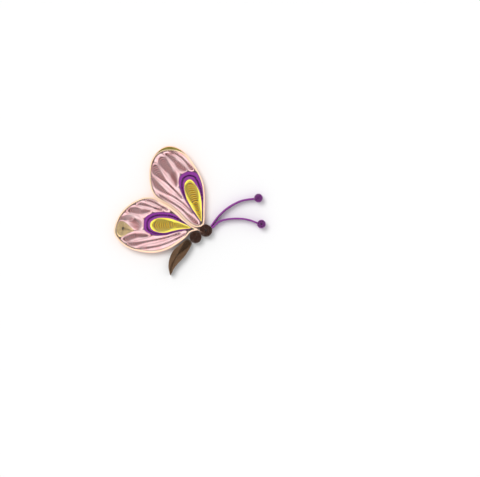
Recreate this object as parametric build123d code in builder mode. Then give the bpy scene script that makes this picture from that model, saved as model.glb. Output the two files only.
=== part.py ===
"""Quilled paper butterfly: thin paper strips set on edge, wound into coils, pinched and glued side by side.

It lies flat on its glued back at z = 0. The origin is the middle of the thorax roll, +Z faces the viewer,
+X runs towards the antennae and +Y along the forewing. All lengths are in millimetres, angles in degrees.
"""

from build123d import *
import math
import os
from dataclasses import dataclass, replace

# Paper strips and the glue between them
strip_height = 3.0
paper = 0.14
glue_gap = 0.12
pressed_gap = 0.05

# Body rolls, each turn standing for a few pressed layers of paper
thorax_diameter = 4.9
head_diameter = 5.2
head_direction = 33.0
roll_seat = 0.08
roll_eye = 0.45
roll_layers = 3
roll_turn_gap = 0.05
roll_segments = 12

# Antennae
stem_layers = 2
stem_segments = 8
tip_roll_diameter = 3.6
tip_roll_eye = 0.3
tip_roll_layers = 2
upper_stem_direction = 43.0
lower_stem_direction = 26.0

# Rims of the wings
rim_layers = 2
inner_rim_gap = 0.1
crest_depth = 1.2
wing_seat = 0.15

# Loose coils: the pitch of the turns along the sides and at the round end
side_pitch = 0.34
end_pitch = 1.6
loose_tail_pitch = 1.2
eyespot_side_pitch = 0.26
eyespot_end_pitch = 1.0
eyespot_tail_pitch = 0.6
husk_side_pitch = 0.36
husk_end_pitch = 0.6
husk_turns = 2
husk_gap_turns = 0.25
husk_narrowing = 4
hindwing_husk_lopsided = 0.75
curl_side_pitch = 0.36
curl_end_pitch = 0.75
tip_coil_pitch = 0.52
abdomen_side_pitch = 0.38
abdomen_end_pitch = 0.9
abdomen_roundness = 0.5
crest_coil_pitch = 0.2
tail_half_width = 0.21
smallest_eye = 0.3
smallest_turn = 1.6
tail_pitch = 0.3

# Fineness of the folds
stations = 7
lane_samples = 120
cap_folds = (0, 30, 60)
longest_cap = 0.6
chord_step = 0.01
rim_chord_step = 0.1
blunted_joint = 1.6


def polar(centre, radius, angle):
    """Returns the point at a radius and an angle from a centre."""
    turned = math.radians(angle)
    return (centre[0] + radius * math.cos(turned), centre[1] + radius * math.sin(turned))


def between(start, finish, share):
    """Returns the point at a share of the straight way from start to finish."""
    return (start[0] + (finish[0] - start[0]) * share, start[1] + (finish[1] - start[1]) * share)


def blend(before, start, finish, after, t):
    """Returns the place at a share t of the smooth span from start to finish, with the points beside them."""
    return tuple(
        0.5 * (2 * b + (c - a) * t + (2 * a - 5 * b + 4 * c - d) * t**2 + (3 * b - a - 3 * c + d) * t**3)
        for a, b, c, d in zip(before, start, finish, after)
    )


def curve_point(points, share):
    """Returns the place at a share (0 to 1) of the smooth curve that passes through the points."""
    last = len(points) - 1
    place = min(max(share, 0.0), 1.0) * last
    index = min(int(place), last - 1)
    start, finish = points[index], points[index + 1]
    before = points[index - 1] if index > 0 else (2 * start[0] - finish[0], 2 * start[1] - finish[1])
    after = points[index + 2] if index + 2 <= last else (2 * finish[0] - start[0], 2 * finish[1] - start[1])
    return blend(before, start, finish, after, place - index)


def outline_point(outline, place):
    """Returns the point on a closed smooth outline at one of its points or between two."""
    index = math.floor(place)
    around = [outline[(index + step) % len(outline)] for step in (-1, 0, 1, 2)]
    return blend(*around, place - index)


def side_normal(before, after):
    """Returns the unit vector square to a chord, to its left."""
    length = math.dist(before, after)
    return (-(after[1] - before[1]) / length, (after[0] - before[0]) / length)


class Lane:
    """The space between two veins, in which one strip is wound. It runs from its round end to its tail.

    Each vein is taken as straight between its stations, so that the turns on both sides of it lie parallel.
    """

    def __init__(self, left, right):
        self.left = [curve_point(left, step / stations) for step in range(stations + 1)]
        self.right = [curve_point(right, step / stations) for step in range(stations + 1)]
        middle = [self.place(step / lane_samples, 0.0) for step in range(lane_samples + 1)]
        self.runs = [0.0]
        for before, after in zip(middle, middle[1:]):
            self.runs.append(self.runs[-1] + math.dist(before, after))
        self.length = self.runs[-1]
        self.widths = [self.half_width_at(step / lane_samples) for step in range(lane_samples + 1)]
        self.widest = max(self.widths)
        self.peak = self.runs[self.widths.index(self.widest)]
        narrowest = tail_half_width + (glue_gap + paper) / 2
        self.opening = next(run for run, half in zip(self.runs, self.widths) if half > narrowest)

    def place(self, share, side):
        """Returns the point at a share of the lane's length, from the left vein (-1) to the right one (1)."""
        index = min(max(int(share * stations), 0), stations - 1)
        part = share * stations - index
        ends = []
        for vein in (self.left, self.right):
            before, after = vein[index], vein[index + 1]
            ends.append(between(before, after, part))
        return between(ends[0], ends[1], (side + 1) / 2)

    def half_width_at(self, share):
        """Returns half the width of the lane at a share of its length, square to its middle line."""
        left, right = self.place(share, -1), self.place(share, 1)
        normal = side_normal(self.place(share - chord_step, 0.0), self.place(share + chord_step, 0.0))
        return abs((right[0] - left[0]) * normal[0] + (right[1] - left[1]) * normal[1]) / 2

    def share_and_half(self, run):
        """Returns the share of the lane and its half width at a length along its middle line."""
        run = min(max(run, 0.0), self.length)
        index = next(i for i in range(lane_samples) if self.runs[i + 1] >= run or i == lane_samples - 1)
        part = (run - self.runs[index]) / (self.runs[index + 1] - self.runs[index])
        half = self.widths[index] + part * (self.widths[index + 1] - self.widths[index])
        return (index + part) / lane_samples, half

    def half_width(self, run):
        """Returns half the width of the lane at a length along its middle line."""
        return self.share_and_half(run)[1]

    def run_at(self, share):
        """Returns the length along the middle line at a share of the lane."""
        place = share * lane_samples
        index = min(int(place), lane_samples - 1)
        return self.runs[index] + (place - index) * (self.runs[index + 1] - self.runs[index])

    def point(self, run, offset):
        """Returns the point at a length along the lane, at an offset from its middle line."""
        share, half = self.share_and_half(run)
        return self.place(share, offset / half)


@dataclass(frozen=True)
class Winding:
    """How a strip is wound in a lane.

    The turns lie loose at the round end (end) and the tail (tail), and closer along the sides (side).
    Along the sides they draw together where the lane narrows, the sooner the higher narrowing is. A strip
    that lies inside a husk starts as many husk turns in as wraps says. Where the husk is lopsided, it is
    wider on the left side of the lane than on the right one.
    """

    turns: int
    side: float = side_pitch
    end: float = end_pitch
    tail: float = tail_pitch
    wraps: float = 0.0
    narrowing: float = 1.0
    lopsided: float = 0.0
    roundness: float = 1.1


def room(lane, half, winding, turn, side=0):
    """Returns how far a turn lies from the middle line of its lane, where the lane has this half width."""
    pressed = paper + pressed_gap
    share = half / lane.widest
    uneven = 1 - side * winding.lopsided
    spread = pressed + (winding.side - pressed) * share**winding.narrowing * uneven
    husk_spread = pressed + (husk_side_pitch - pressed) * share**husk_narrowing * uneven
    return half - (glue_gap + paper) / 2 - winding.wraps * husk_spread - turn * spread


def narrow_run(lane, rooms, inside, outside):
    """Returns where the room falls to the tail's half width, between two samples of the lane."""
    part = (rooms[inside] - tail_half_width) / (rooms[inside] - rooms[outside])
    return lane.runs[inside] + part * (lane.runs[outside] - lane.runs[inside])


def reach_of_turn(lane, winding, turn):
    """Returns where a turn begins and ends along its lane, or None where the lane has no room for it."""
    rooms = [room(lane, half, winding, turn) for half in lane.widths]
    first = last = rooms.index(max(rooms))
    if rooms[first] < smallest_eye:
        return None
    while first > 0 and rooms[first - 1] > tail_half_width:
        first -= 1
    while last < lane_samples and rooms[last + 1] > tail_half_width:
        last += 1
    margin = (glue_gap + paper) / 2
    begin = lane.opening + margin + winding.wraps * husk_end_pitch + turn * winding.end
    finish = lane.length - margin - winding.wraps * tail_pitch - turn * winding.tail
    if first > 0:
        begin = max(begin, narrow_run(lane, rooms, first, first - 1))
    if last < lane_samples:
        finish = min(finish, narrow_run(lane, rooms, last, last + 1))
    return (begin, finish) if finish - begin > smallest_turn else None


def half_turn(lane, winding, turn, side, begin, finish):
    """Returns the points of half a turn, from its round end to its tail, along one side of the lane."""
    middle_room = room(lane, lane.half_width(min(max(lane.peak, begin), (begin + finish) / 2)), winding, turn)
    cap = min(middle_room * winding.roundness, (finish - begin) * longest_cap)
    folds = [lane.run_at(step / stations) for step in range(1, stations)]
    runs = [begin + cap * (1 - math.cos(math.radians(angle))) for angle in cap_folds] + [begin + cap]
    runs += [run for run in folds if begin + cap < run < finish] + [finish]
    points = []
    for run in runs:
        wound = turn + side * (run - begin) / (finish - begin) / 2
        offset = room(lane, lane.half_width(run), winding, wound, side)
        if run < begin + cap:
            offset *= math.sqrt(1 - (1 - (run - begin) / cap) ** 2)
        if run == finish:
            offset -= pressed_gap
        points.append(lane.point(run, side * offset))
    return points


def coil_path(lane, winding):
    """Returns the middle line of a strip wound inwards in its lane, from its glued outer end to its eye."""
    path = []
    for turn in range(winding.turns):
        tail = reach_of_turn(lane, winding, turn)
        top = reach_of_turn(lane, winding, turn + 0.5)
        next_tail = reach_of_turn(lane, winding, turn + 1)
        if tail is None or top is None or next_tail is None:
            break
        path += half_turn(lane, winding, turn + 0.5, -1, top[0], tail[1])[::-1]
        path += half_turn(lane, winding, turn + 0.5, 1, top[0], next_tail[1])[1:]
    return path


def roll_path(centre, diameter, eye, pitch, start_angle):
    """Returns the middle line of a round roll, wound inwards from its outer end to its eye."""
    outer = (diameter - pitch) / 2
    count = int((outer - eye) / pitch * roll_segments)
    return [
        polar(centre, outer - pitch * index / roll_segments, start_angle + 360 * index / roll_segments)
        for index in range(count + 1)
    ]


def rim_point(outline, place, depth):
    """Returns the point inside a closed outline at a depth, beside one of its points or between two."""
    before = outline_point(outline, place - rim_chord_step)
    after = outline_point(outline, place + rim_chord_step)
    normal = side_normal(before, after)
    point = outline_point(outline, place)
    return (point[0] + normal[0] * depth, point[1] + normal[1] * depth)


def crest_rise(place):
    """Returns how much of the crest's depth there is beside a place of the forewing's outline."""
    share = (place - crest_start) / (crest_finish - crest_start)
    return math.sin(math.pi * share) ** 2 if 0 < share < 1 else 0.0


def wall_sides(path, thickness):
    """Returns the left and the right side of a strip standing on edge along its path, with mitred corners."""
    left, right = [], []
    for index, point in enumerate(path):
        before = path[max(index - 1, 0)]
        after = path[min(index + 1, len(path) - 1)]
        first = side_normal(before, point) if index > 0 else side_normal(point, after)
        second = side_normal(point, after) if index < len(path) - 1 else first
        joint = (first[0] + second[0], first[1] + second[1])
        scale = thickness / max(joint[0] ** 2 + joint[1] ** 2, blunted_joint)
        left.append((point[0] + joint[0] * scale, point[1] + joint[1] * scale))
        right.append((point[0] - joint[0] * scale, point[1] - joint[1] * scale))
    return left, right


def write_strip(name, path, layers=1):
    """Builds one strip of paper on edge along its path and writes it out."""
    left, right = wall_sides(path, layers * paper)
    with BuildPart() as strip:
        with BuildSketch():
            with BuildLine():
                Polyline(*left, *reversed(right), close=True)
            make_face()
        extrude(amount=strip_height)
    strip.part.label = name
    export_step(strip.part, f"parts/{name}.step")


def write_rim(name, outline, depth, layers=1, crest=0.0):
    """Builds one strip of paper on edge, closed on itself at a depth inside an outline, and writes it out."""
    places = [index / 2 for index in range(2 * len(outline))]
    path = [rim_point(outline, place, depth + crest * crest_rise(place)) for place in places]
    left, right = wall_sides([path[-1], *path, path[0]], layers * paper)
    with BuildPart() as rim:
        with BuildSketch():
            with BuildLine():
                Polyline(*right[1:-1], close=True)
            make_face()
            with BuildLine():
                Polyline(*left[1:-1], close=True)
            make_face(mode=Mode.SUBTRACT)
        extrude(amount=strip_height)
    rim.part.label = name
    export_step(rim.part, f"parts/{name}.step")


def write_coil(name, left, right, winding):
    """Winds one strip between two veins and writes it out."""
    write_strip(name, coil_path(Lane(left, right), winding))


# Places that the body rolls and the wing roots share
thorax_centre = (0.0, 0.0)
head_centre = polar(thorax_centre, (thorax_diameter + head_diameter) / 2 + roll_seat, head_direction)


def beside_head(angle, gap):
    """Returns the point outside the head roll at a gap from it."""
    return polar(head_centre, head_diameter / 2 + gap, angle)


def beside_thorax(angle, gap):
    """Returns the point outside the thorax roll at a gap from it."""
    return polar(thorax_centre, thorax_diameter / 2 + gap, angle)


wing_root = beside_head(125, wing_seat)


def by_root(dx, dy):
    """Returns a point near the wing root, which follows the head roll."""
    return (wing_root[0] + dx, wing_root[1] + dy)


# Outline of the wings, counterclockwise from the root. They share a seam.
seam = [(-14.2, 14.9), (-10.9, 13.0), (-7.2, 10.1), (-4.4, 7.1), by_root(-4.3, -0.2)]
forewing_outline = [
    by_root(0.8, 0.4), (3.9, 12.1), (3.9, 18.3), (2.9, 23.7), (0.2, 29.1), (-3.5, 34.3), (-6.8, 36.9),
    (-10.3, 37.9), (-13.6, 37.2), (-16.5, 34.8), (-18.5, 31.4), (-19.2, 27.4), (-19.1, 22.9), (-18.3, 19.4),
    (-16.6, 16.6), *seam, by_root(-1.9, -0.9),
]
crest_start = 4.6
crest_finish = 9.6
hindwing_outline = [
    beside_thorax(72, 0.85), *reversed(seam), (-15.9, 15.9), (-17.9, 16.6), (-20.2, 16.7), (-22.6, 16.2),
    (-27.2, 13.8), (-31.0, 10.1), (-33.3, 5.5), (-33.7, 1.6), (-31.4, -1.9), (-27.3, -4.7), (-22.1, -6.2),
    (-16.7, -6.5), (-11.3, -5.0), (-7.2, -2.6), (-4.1, -0.2), beside_thorax(132, 0.38),
]

# Veins of the forewing, each pair from the round end of its coil to the tail
fore_above_seam = [
    (0.7, 4.8), (-1.5, 5.9), (-4.0, 8.1), (-6.2, 10.4), (-8.9, 12.7), (-12.5, 15.1), (-15.6, 17.2),
    (-17.3, 19.3),
]
fore_vein_0 = [
    (2.1, 5.4), (0.5, 7.6), (-2.0, 10.2), (-4.6, 12.5), (-7.8, 14.5), (-11.9, 16.5), (-15.1, 18.1),
    (-17.1, 19.5),
]
fore_vein_1 = [
    (-18.4, 25.0), (-18.2, 22.7), (-17.0, 19.9), (-13.3, 17.1), (-9.3, 15.6), (-5.1, 12.9), (-1.0, 9.2),
]
fore_vein_2 = [
    (-18.2, 25.9), (-16.5, 24.4), (-14.4, 22.7), (-11.0, 20.0), (-8.0, 17.7), (-4.1, 14.3), (-0.3, 9.9),
]
fore_vein_3 = [
    (-17.8, 30.4), (-18.4, 28.3), (-18.1, 26.0), (-16.3, 24.4), (-12.7, 21.4), (-9.7, 18.9), (-6.5, 16.5),
    (-4.9, 15.0),
]
fore_vein_4 = [
    (-16.3, 31.5), (-15.6, 30.1), (-14.0, 28.0), (-12.7, 26.4), (-10.3, 23.4), (-8.1, 20.7), (-5.7, 17.5),
    (-4.4, 15.4),
]
fore_vein_5 = [(-16.1, 33.2), (-15.7, 30.4), (-14.0, 28.0), (-11.5, 24.9), (-9.4, 22.5), (-8.1, 20.9)]
fore_vein_6 = [(-14.2, 34.8), (-12.0, 33.2), (-10.3, 31.1), (-7.8, 27.8), (-7.0, 24.7), (-7.2, 21.8)]
above_eyespot = [
    (-3.8, 26.8), (-6.0, 27.1), (-7.8, 28.1), (-9.2, 29.8), (-10.5, 31.4), (-11.9, 33.3), (-13.2, 34.4),
]
fore_vein_7 = [
    (-2.7, 27.9), (-3.6, 29.0), (-4.9, 30.6), (-6.2, 32.0), (-7.9, 33.3), (-9.7, 34.4), (-12.1, 35.1),
]
fore_vein_8 = [
    (-1.6, 27.2), (-3.0, 28.4), (-4.7, 30.4), (-6.0, 31.9), (-7.7, 33.2), (-9.4, 34.3), (-11.5, 35.0),
]
leading_vein = [
    (0.0, 27.7), (-1.2, 29.6), (-2.9, 31.7), (-4.6, 33.5), (-6.7, 35.0), (-8.9, 35.7), (-11.3, 35.6),
]
fore_eyespot_left = [
    (-6.3, 26.9), (-6.9, 23.1), (-6.2, 19.2), (-4.2, 15.3), (-1.8, 11.6), (0.5, 8.3), (2.2, 6.0),
]
fore_eyespot_right = [(0.5, 27.0), (1.8, 24.2), (2.9, 20.8), (3.3, 17.1), (3.3, 13.2), (3.1, 9.1), (3.0, 6.2)]

# Veins of the hindwing, each pair from the round end of its coil to the tail
hind_below_seam = [
    (-22.8, 15.3), (-20.0, 16.0), (-17.2, 15.5), (-14.6, 14.1), (-12.3, 12.5), (-9.8, 10.8), (-7.7, 9.1),
]
hind_vein_0 = [
    (-23.0, 14.9), (-20.5, 14.8), (-17.7, 13.7), (-15.4, 12.6), (-13.1, 11.5), (-10.3, 10.1), (-7.9, 8.7),
]
hind_vein_1 = [
    (-24.8, 14.1), (-22.3, 14.8), (-19.8, 14.4), (-17.3, 13.4), (-14.8, 12.3), (-12.5, 11.3), (-10.7, 10.3),
]
hind_vein_2 = [
    (-25.5, 13.3), (-22.9, 12.9), (-20.4, 12.1), (-18.1, 11.5), (-15.6, 10.9), (-12.9, 10.7), (-10.8, 10.1),
]
hind_vein_3 = [(-28.5, 11.5), (-26.7, 12.6), (-24.5, 13.0), (-22.3, 12.5), (-19.9, 11.9), (-17.8, 11.1)]
hind_vein_4 = [(-29.1, 10.5), (-27.3, 10.0), (-24.9, 9.3), (-22.5, 8.8), (-20.4, 9.6), (-18.0, 10.5)]
curl_below = [(-25.6, 2.9), (-27.1, 4.6), (-28.5, 5.8), (-30.1, 6.7), (-31.0, 6.8), (-31.9, 6.7)]
curl_above = [(-22.1, 2.5), (-21.6, 6.0), (-23.7, 8.5), (-27.3, 9.8), (-30.6, 8.8), (-32.0, 7.3)]
tip_above = [(-33.0, 6.2), (-31.3, 6.5), (-29.2, 6.0), (-27.4, 4.4), (-25.9, 2.9)]
tip_below = [(-33.0, 0.4), (-31.3, 0.3), (-29.4, 0.9), (-27.6, 1.9), (-25.9, 2.6)]
hind_eyespot_above = [
    (-21.4, 8.7), (-18.0, 10.0), (-14.0, 10.4), (-10.2, 9.7), (-6.2, 7.6), (-3.3, 5.3), (-1.3, 3.9),
]
hind_eyespot_below = [
    (-21.3, 2.4), (-17.5, 1.1), (-13.4, 1.0), (-9.5, 1.8), (-5.9, 2.6), (-3.1, 3.1), (-1.3, 3.3),
]
hind_vein_5 = [(-31.3, -0.5), (-29.3, 0.5), (-26.8, 1.9), (-24.1, 2.5), (-21.3, 2.1), (-18.6, 0.9)]
hind_vein_6 = [(-30.5, -1.4), (-28.4, -2.1), (-25.7, -1.5), (-23.1, -0.9), (-20.4, -0.3), (-18.3, 0.4)]
hind_vein_7 = [
    (-29.4, -2.2), (-26.4, -1.7), (-23.4, -1.0), (-20.4, -0.4), (-16.4, 0.2), (-12.2, 0.8), (-8.2, 1.9),
    (-4.5, 2.7),
]
hind_vein_8 = [
    (-28.5, -3.0), (-25.9, -4.1), (-22.8, -3.8), (-19.8, -3.0), (-15.7, -2.1), (-11.7, -0.9), (-7.9, 0.5),
    (-4.4, 2.2),
]
hind_vein_9 = [
    (-3.5, 2.6), (-6.0, 1.3), (-9.1, 0.0), (-12.7, -1.3), (-16.2, -2.3), (-19.9, -3.1), (-23.2, -4.1),
    (-25.2, -4.5),
]
trailing_vein = [
    (-2.9, 2.1), (-4.8, 0.2), (-7.9, -2.0), (-11.8, -3.9), (-15.8, -5.1), (-19.9, -5.5), (-23.6, -5.2),
    (-25.1, -4.8),
]

# Abdomen, from the thorax to its pinched tip
abdomen_inner = [
    beside_thorax(190, 0.9), (-6.2, -2.7), (-9.1, -5.3), (-10.8, -8.8), (-11.2, -12.3), (-10.5, -15.7),
]
abdomen_outer = [
    beside_thorax(243, 1.35), (-2.4, -5.3), (-4.5, -8.1), (-6.8, -10.5), (-8.8, -13.0), (-10.1, -15.8),
]

# Antennae, from the head to the middle of the tip roll
upper_tip_centre = (26.1, 16.3)
lower_tip_centre = (27.3, 5.5)
upper_stem = [(9.7, 9.1), (13.6, 12.5), (18.0, 14.9), (21.4, 15.8)]
lower_stem = [(9.7, 6.6), (13.6, 7.7), (18.4, 7.9), (22.3, 7.3)]

os.makedirs("parts", exist_ok=True)

# Rims
rim_thickness = rim_layers * paper
rim_depth = (glue_gap + rim_thickness) / 2
inner_rim_depth = glue_gap / 2 + rim_thickness + inner_rim_gap + paper / 2
write_rim("forewing_rim", forewing_outline, rim_depth, rim_layers)
write_rim("forewing_inner_rim", forewing_outline, inner_rim_depth, crest=crest_depth)
write_rim("hindwing_rim", hindwing_outline, rim_depth, rim_layers)
write_rim("hindwing_inner_rim", hindwing_outline, inner_rim_depth)

# Crest coil between the two rims
crest_places = [crest_start + (crest_finish - crest_start) * share for share in (0.22, 0.36, 0.5, 0.64, 0.78)]
crest_outer = [rim_point(forewing_outline, place, glue_gap / 2 + rim_thickness) for place in crest_places]
crest_inner = [
    rim_point(forewing_outline, place, inner_rim_depth - paper / 2 + crest_depth * crest_rise(place))
    for place in crest_places
]
crest = Winding(turns=1, side=crest_coil_pitch, end=end_pitch)
write_coil("forewing_crest_coil", crest_outer, crest_inner, crest)

# Forewing
pink = Winding(turns=4, tail=loose_tail_pitch)
write_coil("forewing_coil_1", fore_above_seam, fore_vein_0, pink)
write_coil("forewing_coil_2", fore_vein_1, fore_vein_2, pink)
write_coil("forewing_coil_3", fore_vein_3, fore_vein_4, pink)
write_coil("forewing_coil_4", fore_vein_5, fore_vein_6, pink)
write_coil("forewing_coil_5", above_eyespot, fore_vein_7, pink)
write_coil("forewing_coil_6", fore_vein_8, leading_vein, pink)

# Hindwing
write_coil("hindwing_coil_1", hind_below_seam, hind_vein_0, pink)
write_coil("hindwing_coil_2", hind_vein_1, hind_vein_2, pink)
write_coil("hindwing_coil_3", hind_vein_3, hind_vein_4, pink)
write_coil("hindwing_coil_4", hind_vein_5, hind_vein_6, pink)
write_coil("hindwing_coil_5", hind_vein_7, hind_vein_8, pink)
write_coil("hindwing_coil_6", hind_vein_9, trailing_vein, pink)
curl = Winding(turns=4, side=curl_side_pitch, end=curl_end_pitch, tail=loose_tail_pitch)
write_coil("hindwing_curl_coil", curl_below, curl_above, curl)
tip = Winding(turns=4, side=tip_coil_pitch, end=tip_coil_pitch)
write_coil("hindwing_tip_coil", tip_above, tip_below, tip)

# Eyespots, each a coil inside two husks
husk_pair_turns = husk_turns + husk_gap_turns
for wing, left, right, lopsided in (
    ("forewing", fore_eyespot_left, fore_eyespot_right, 0.0),
    ("hindwing", hind_eyespot_above, hind_eyespot_below, hindwing_husk_lopsided),
):
    husk = Winding(husk_turns, husk_side_pitch, husk_end_pitch, narrowing=husk_narrowing, lopsided=lopsided)
    inner_husk = replace(husk, wraps=husk_pair_turns)
    eyespot = Winding(
        turns=6, side=eyespot_side_pitch, end=eyespot_end_pitch, tail=eyespot_tail_pitch,
        wraps=2 * husk_pair_turns, lopsided=lopsided,
    )
    write_coil(f"{wing}_eyespot_husk", left, right, husk)
    write_coil(f"{wing}_eyespot_inner_husk", left, right, inner_husk)
    write_coil(f"{wing}_eyespot_coil", left, right, eyespot)

# Body
roll_thickness = roll_layers * paper
roll_pitch = roll_thickness + roll_turn_gap
write_strip("thorax_roll", roll_path(thorax_centre, thorax_diameter, roll_eye, roll_pitch, 250), roll_layers)
write_strip("head_roll", roll_path(head_centre, head_diameter, roll_eye, roll_pitch, 215), roll_layers)
abdomen = Winding(turns=6, side=abdomen_side_pitch, end=abdomen_end_pitch, roundness=abdomen_roundness)
write_coil("abdomen_coil", abdomen_inner, abdomen_outer, abdomen)

# Antennae
tip_pitch = tip_roll_layers * paper + roll_turn_gap
stem_gap = glue_gap + stem_layers * paper / 4
for name, direction, stem, tip_centre in (
    ("upper", upper_stem_direction, upper_stem, upper_tip_centre),
    ("lower", lower_stem_direction, lower_stem, lower_tip_centre),
):
    approach = math.degrees(math.atan2(stem[-1][1] - tip_centre[1], stem[-1][0] - tip_centre[0]))
    stem_end = polar(tip_centre, tip_roll_diameter / 2 + stem_gap, approach)
    route = [beside_head(direction, stem_gap), *stem, stem_end]
    stem_path = [curve_point(route, step / stem_segments) for step in range(stem_segments + 1)]
    write_strip(f"{name}_antenna_stem", stem_path, stem_layers)
    tip_path = roll_path(tip_centre, tip_roll_diameter, tip_roll_eye, tip_pitch, approach)
    write_strip(f"{name}_antenna_roll", tip_path, tip_roll_layers)
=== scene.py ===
"""Quilled paper butterfly: strips of thin paper on edge, wound, pinched and glued side by side.

Each coil is wound between the same veins as the frame's own, of thinner paper and with more turns.
Lengths are in millimetres until a mesh is made, which is in metres.
"""

from __future__ import annotations

import logging
import math
from dataclasses import dataclass
from enum import Enum
from typing import ClassVar

import bmesh
import bpy
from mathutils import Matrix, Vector, noise


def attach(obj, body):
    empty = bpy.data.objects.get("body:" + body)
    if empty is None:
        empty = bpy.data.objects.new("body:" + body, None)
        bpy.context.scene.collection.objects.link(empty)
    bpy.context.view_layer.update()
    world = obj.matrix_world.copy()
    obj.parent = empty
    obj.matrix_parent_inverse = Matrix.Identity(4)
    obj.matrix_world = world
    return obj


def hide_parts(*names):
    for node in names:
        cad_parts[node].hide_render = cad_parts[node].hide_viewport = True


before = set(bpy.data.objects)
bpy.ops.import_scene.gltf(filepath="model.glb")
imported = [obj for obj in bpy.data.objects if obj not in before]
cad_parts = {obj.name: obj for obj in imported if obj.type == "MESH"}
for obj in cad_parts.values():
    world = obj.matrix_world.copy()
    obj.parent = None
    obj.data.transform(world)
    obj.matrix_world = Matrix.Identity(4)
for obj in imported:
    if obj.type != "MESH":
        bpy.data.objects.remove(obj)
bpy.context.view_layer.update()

log = logging.getLogger("butterfly")

MM = 0.001

# A place has the foot and the top of a strip, and a wall is a strip on edge along its places
Point = tuple[float, float]
Line = list[Point]
Place = tuple[Point, Point]
Wall = list[Place]

# Thin quilling paper, and the pitch of strips that are pressed together
STRIP_HEIGHT = 3.0
PAPER = 0.1
PRESSED = 0.108

# Light comes from the upper left, so the loose folds that lean away from it show their faces
LIGHT_FROM = (-0.45, 0.5, 1.0)


def polar(centre: Point, radius: float, angle: float) -> Point:
    """Return the point at a radius and an angle, in degrees, from a centre."""
    turned = math.radians(angle)
    return (centre[0] + radius * math.cos(turned), centre[1] + radius * math.sin(turned))


def between(start: Point, finish: Point, share: float) -> Point:
    """Return the point at a share of the straight way from start to finish."""
    return (start[0] + (finish[0] - start[0]) * share, start[1] + (finish[1] - start[1]) * share)


def moved(point: Point, way: Point, distance: float) -> Point:
    """Return a point moved a distance along a unit vector."""
    return (point[0] + way[0] * distance, point[1] + way[1] * distance)


def upright(line: Line) -> Wall:
    """Return the places of a strip that stands upright on a line."""
    return [(point, point) for point in line]


def side_normal(before: Point, after: Point) -> Point:
    """Return the unit vector square to a chord, to its left."""
    length = math.dist(before, after) or 1.0
    return (-(after[1] - before[1]) / length, (after[0] - before[0]) / length)


def pressed_against(wall: Wall) -> Wall:
    """Return the places of a strip that is pressed against another one."""
    way = side_normal(wall[0][0], wall[-1][0])
    return [(moved(foot, way, PRESSED), moved(top, way, PRESSED)) for foot, top in wall]


def wander(seed: float, along: float) -> float:
    """Return a smooth, repeatable deviation from -1 to 1."""
    return noise.noise(Vector((along, 0.0, seed * 7.31)))


def seed_of(node: str) -> float:
    """Return a number of its own for a node's small irregularities."""
    return float(sum(map(ord, node)) % 97)


def blend(before: Point, start: Point, finish: Point, after: Point, t: float) -> Point:
    """Find a point on the smooth span from start to finish.

    Args:
        before: The point before the span.
        start: The first point of the span.
        finish: The last point of the span.
        after: The point after the span.
        t: The share of the span.

    Returns:
        The point at that share.
    """
    x, y = (
        0.5 * (2 * b + (c - a) * t + (2 * a - 5 * b + 4 * c - d) * t**2 + (3 * b - a - 3 * c + d) * t**3)
        for a, b, c, d in zip(before, start, finish, after)
    )
    return (x, y)


def curve_point(points: Line, share: float) -> Point:
    """Find a point on the smooth curve that passes through the points.

    Args:
        points: The points.
        share: The share of the curve.

    Returns:
        The point at that share.
    """
    last = len(points) - 1
    place = min(max(share, 0.0), 1.0) * last
    index = min(int(place), last - 1)
    start, finish = points[index], points[index + 1]
    before = points[index - 1] if index > 0 else between(start, finish, -1.0)
    after = points[index + 2] if index + 2 <= last else between(finish, start, -1.0)
    return blend(before, start, finish, after, place - index)


def outline_point(outline: Line, place: float) -> Point:
    """Return the point on a closed smooth outline at one of its points or between two."""
    index = math.floor(place)
    return blend(*(outline[(index + step) % len(outline)] for step in (-1, 0, 1, 2)), place - index)


def spaced(line: Line, step: float) -> Line:
    """Fill a line up with points.

    Args:
        line: The line.
        step: The most that two points may be apart.

    Returns:
        The filled line.
    """
    filled = line[:1]
    for before, after in zip(line, line[1:]):
        count = max(1, math.ceil(math.dist(before, after) / step))
        filled += [between(before, after, index / count) for index in range(1, count + 1)]
    return filled


def within(point: Point, outline: Line) -> bool:
    """Tell whether a point lies inside a closed outline.

    Args:
        point: The point.
        outline: The outline.

    Returns:
        Whether it lies inside.
    """
    x, y = point
    inside = False
    for (x1, y1), (x2, y2) in zip(outline, [*outline[1:], outline[0]]):
        if (y1 > y) != (y2 > y) and x < x1 + (y - y1) * (x2 - x1) / (y2 - y1):
            inside = not inside
    return inside


@dataclass(frozen=True)
class Winding:
    """How a strip is wound in a lane.

    Attributes:
        turns: The most turns from the vein inwards.
        side: The pitch of the turns along the sides, where the lane is widest.
        end: Their pitch at the round end.
        tail: Their pitch at the tail.
        channel: Half the width of the channel where a turn folds back in a narrowing lane.
        fill: How far apart the loose folds in the channel are, or 0 where there are none.
        lean: How far the top of a loose fold leans away from the light.
        bulge: How far a turn bulges at the round end, as a share of half its width.
        tail_bulge: The same at the tail.
    """

    turns: int
    side: float = 0.116
    end: float = 0.7
    tail: float = 0.7
    channel: float = 0.13
    fill: float = 0.0
    lean: float = 0.4
    bulge: float = 1.05
    tail_bulge: float = 1.3


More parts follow.
